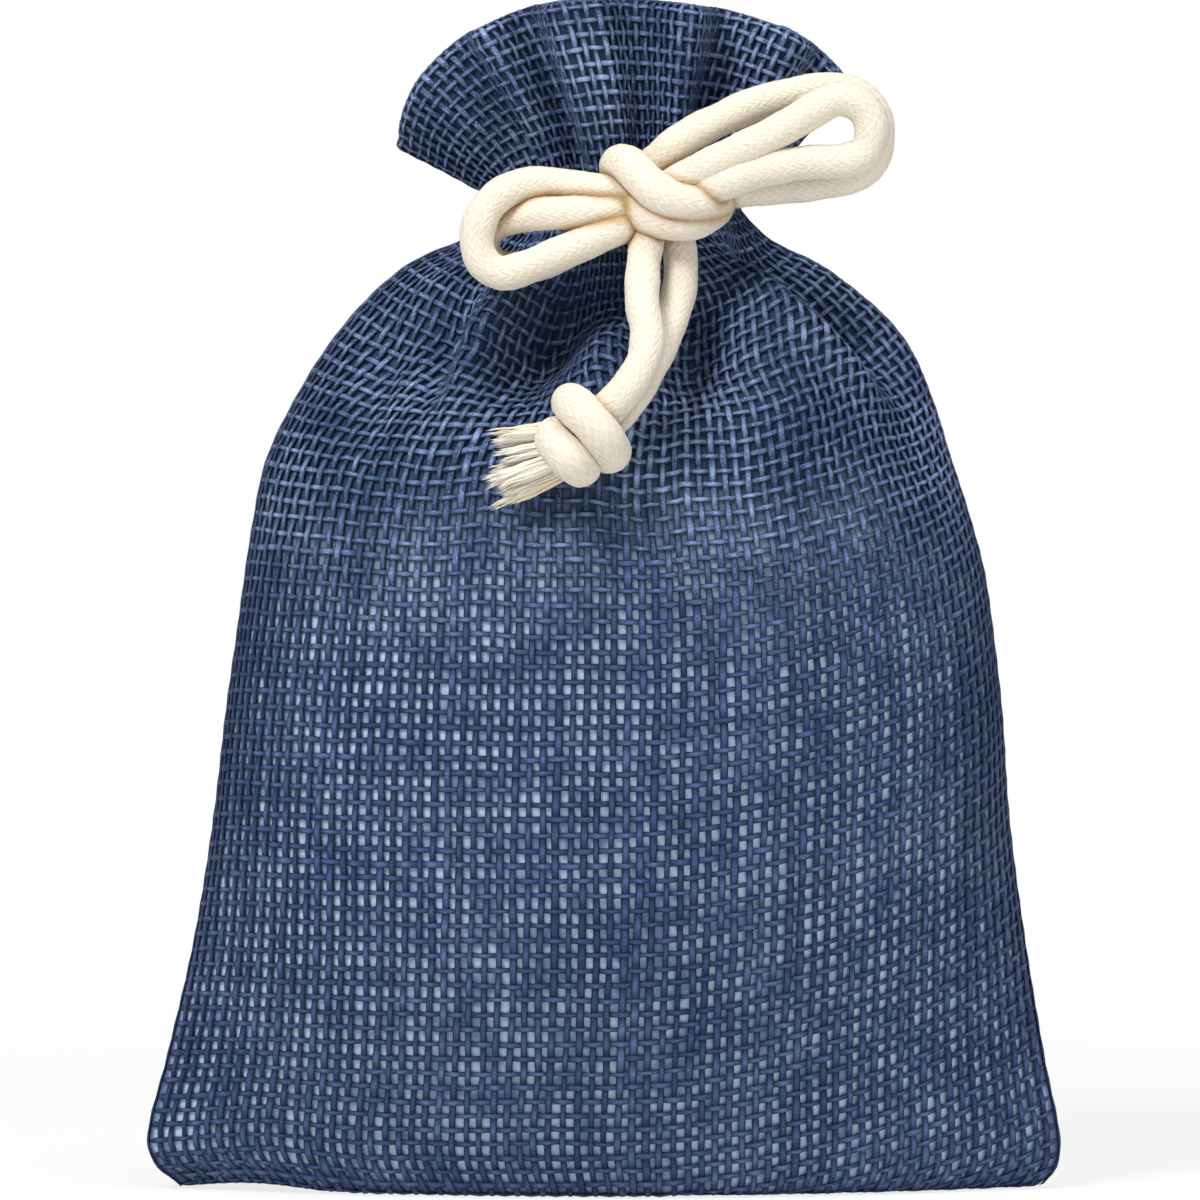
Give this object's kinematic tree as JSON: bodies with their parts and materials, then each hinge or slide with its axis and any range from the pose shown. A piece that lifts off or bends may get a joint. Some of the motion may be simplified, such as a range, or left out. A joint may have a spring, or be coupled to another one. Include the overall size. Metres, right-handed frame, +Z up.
{
  "type": "drawstring pouch",
  "caption": "Small woven-cloth drawstring pouch, filled and standing, its neck gathered under a ruffled header and tied shut with a cotton cord bow.",
  "frame": {"origin": "on the surface it stands on, under the middle of the pouch's box, cord left out", "axes": "+Z up through the tied neck, -Y out of the front where the bow is, +X to the right seen from the front"},
  "size_m": [0.0962, 0.0525, 0.1249],
  "materials": {
    "blue_cloth": "coarse plain weave of blue polyester yarn, slightly shiny",
    "cotton_cord": "soft twisted natural cotton, matte and slightly fuzzy"
  },
  "bodies": {
    "root": {"pouch": "blue_cloth", "neck_cord": "cotton_cord", "bow_knot": "cotton_cord", "left_loop_front": "cotton_cord", "left_loop_back": "cotton_cord", "right_loop_front": "cotton_cord", "right_loop_back": "cotton_cord", "left_tail": "cotton_cord", "right_tail": "cotton_cord", "end_knot": "cotton_cord", "upper_end": "cotton_cord", "lower_end": "cotton_cord"}
  },
  "joints": []
}
